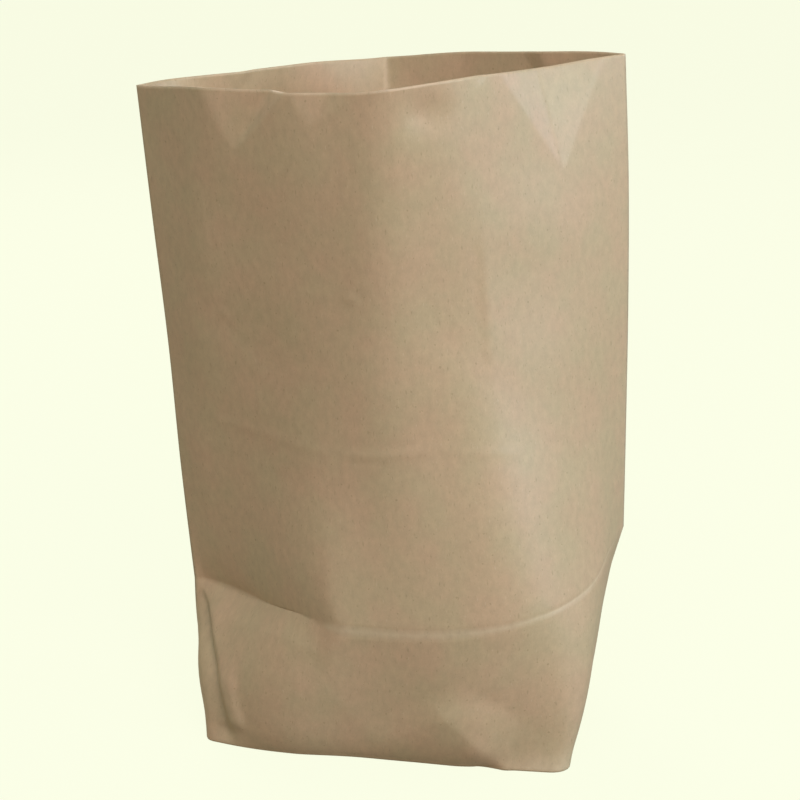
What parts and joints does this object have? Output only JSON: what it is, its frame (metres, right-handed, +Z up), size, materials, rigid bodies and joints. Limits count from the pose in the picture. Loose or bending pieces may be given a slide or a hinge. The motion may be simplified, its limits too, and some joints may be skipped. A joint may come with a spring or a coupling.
{
  "type": "paper bag",
  "caption": "Open brown kraft paper bag with a folded cross bottom, standing empty on its base, for packing loose tea or dry goods.",
  "frame": {"origin": "middle of the footprint box, on the floor the bag stands on", "axes": "+Z up out of the mouth; -Y towards the front, the side with the cross crease near the bottom; +X towards the right side fold seen from the front"},
  "size_m": [0.1586, 0.0994, 0.2339],
  "materials": {
    "kraft_paper": "matt"
  },
  "bodies": {
    "root": {"paper_bag": "kraft_paper"}
  },
  "joints": []
}
